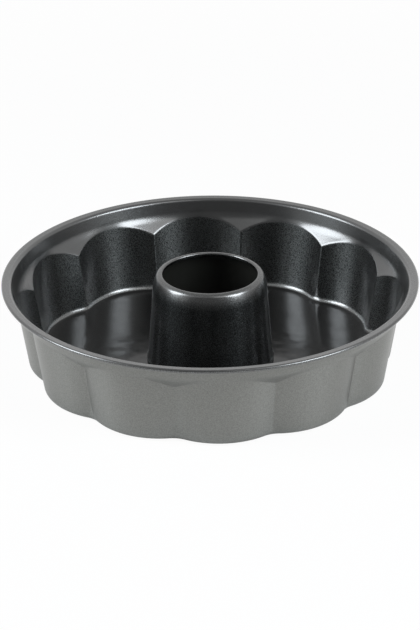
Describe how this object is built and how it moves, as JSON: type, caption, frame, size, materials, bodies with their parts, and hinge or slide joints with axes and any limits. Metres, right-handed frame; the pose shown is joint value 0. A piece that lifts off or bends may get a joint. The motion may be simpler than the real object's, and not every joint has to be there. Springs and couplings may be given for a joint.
{
  "type": "fluted tube pan",
  "caption": "Round fluted baking pan of coated steel sheet with a flat flanged rim and an open conical centre tube, for ring cakes.",
  "frame": {"origin": "on the pan's axis, at the flat underside of the floor", "axes": "+Z along the axis, up out of the pan; +X through the middle of one flute"},
  "size_m": [0.26, 0.26, 0.0598],
  "materials": {
    "grey_lacquer": "satin metallic grey lacquer on steel sheet, outside below the rim's hem",
    "charcoal_coat": "glossy charcoal non-stick coat with fine metallic fleck: inside, on the rim with its hem, and on the tube"
  },
  "bodies": {
    "root": {"fluted_pan": "grey_lacquer", "centre_tube": "charcoal_coat"}
  },
  "joints": []
}
